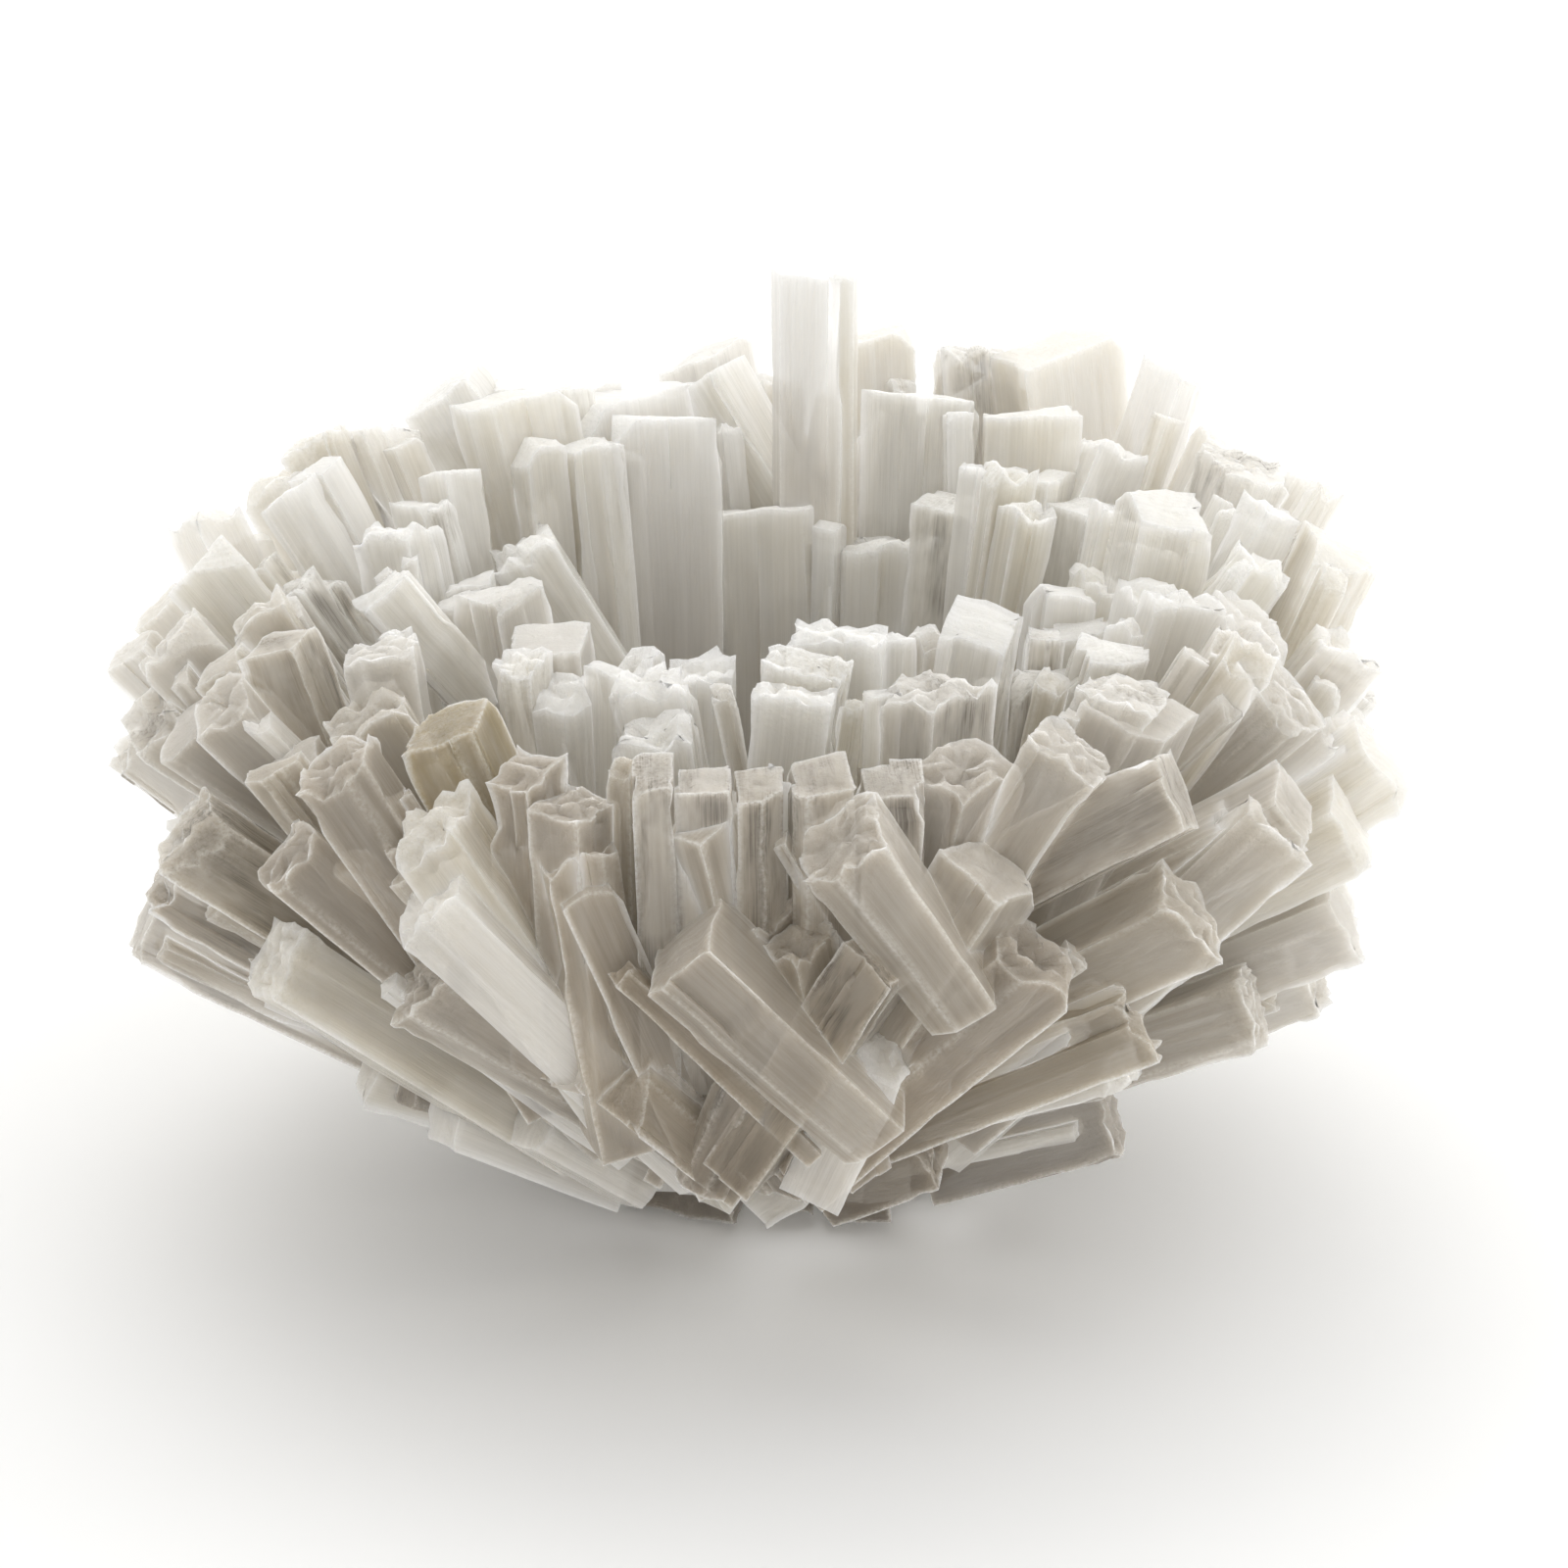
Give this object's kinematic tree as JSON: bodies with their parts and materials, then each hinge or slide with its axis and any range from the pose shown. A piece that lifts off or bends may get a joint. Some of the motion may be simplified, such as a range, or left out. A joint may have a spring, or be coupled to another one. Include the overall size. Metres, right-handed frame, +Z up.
{
  "type": "satin spar bowl",
  "caption": "Decorative bowl made of raw satin spar sticks glued side by side, radiating up and out from a low foot round an open hollow.",
  "frame": {"origin": "on the surface that the bowl rests on, under the middle of the bowl's hollow", "axes": "+Z up, +X to the right and -Y towards the viewer of the reference picture"},
  "size_m": [0.4181, 0.429, 0.2787],
  "materials": {
    "white_satin_spar": "raw fibrous cleavage faces, silky and translucent, cool white",
    "warm_satin_spar": "raw fibrous cleavage faces, silky and translucent, warm white with grey-brown clay films"
  },
  "bodies": {
    "root": {"foot_cluster_01": "warm_satin_spar", "high_flank_cluster_01": "warm_satin_spar", "high_flank_cluster_02": "warm_satin_spar", "high_flank_cluster_03": "warm_satin_spar", "high_flank_cluster_04": "warm_satin_spar", "inner_rim_cluster_01": "white_satin_spar", "inner_rim_cluster_02": "white_satin_spar", "inner_rim_cluster_03": "white_satin_spar", "inner_rim_cluster_04": "white_satin_spar", "inner_rim_cluster_05": "white_satin_spar", "low_flank_cluster_01": "warm_satin_spar", "low_flank_cluster_02": "warm_satin_spar", "low_flank_cluster_03": "warm_satin_spar", "low_flank_cluster_04": "warm_satin_spar", "low_flank_cluster_05": "warm_satin_spar", "low_flank_cluster_06": "warm_satin_spar", "mid_rim_cluster_01": "white_satin_spar", "mid_rim_cluster_02": "white_satin_spar", "mid_rim_cluster_03": "white_satin_spar", "mid_rim_cluster_04": "white_satin_spar", "mid_rim_cluster_05": "white_satin_spar", "mid_rim_cluster_06": "white_satin_spar", "mid_rim_cluster_07": "white_satin_spar", "mid_rim_cluster_08": "white_satin_spar", "mid_rim_cluster_09": "white_satin_spar", "mid_rim_cluster_10": "white_satin_spar", "mid_rim_cluster_11": "white_satin_spar", "mid_rim_cluster_12": "white_satin_spar", "mid_rim_cluster_13": "white_satin_spar", "mid_rim_cluster_14": "white_satin_spar", "rim_cluster_01": "white_satin_spar", "rim_cluster_02": "white_satin_spar", "rim_cluster_03": "white_satin_spar", "shoulder_cluster_01": "white_satin_spar", "shoulder_cluster_02": "white_satin_spar", "shoulder_cluster_03": "white_satin_spar", "shoulder_cluster_04": "white_satin_spar", "skirt_cluster_01": "warm_satin_spar", "skirt_cluster_02": "warm_satin_spar", "skirt_cluster_03": "warm_satin_spar", "skirt_cluster_04": "warm_satin_spar", "skirt_cluster_05": "warm_satin_spar", "skirt_cluster_06": "warm_satin_spar", "skirt_cluster_07": "warm_satin_spar", "skirt_cluster_08": "warm_satin_spar", "skirt_cluster_09": "warm_satin_spar", "skirt_cluster_10": "warm_satin_spar", "skirt_cluster_11": "warm_satin_spar", "skirt_cluster_12": "warm_satin_spar", "skirt_cluster_13": "warm_satin_spar", "skirt_cluster_14": "warm_satin_spar", "skirt_cluster_15": "warm_satin_spar", "skirt_cluster_16": "warm_satin_spar", "skirt_cluster_17": "warm_satin_spar", "skirt_cluster_18": "warm_satin_spar", "skirt_cluster_19": "warm_satin_spar"}
  },
  "joints": []
}
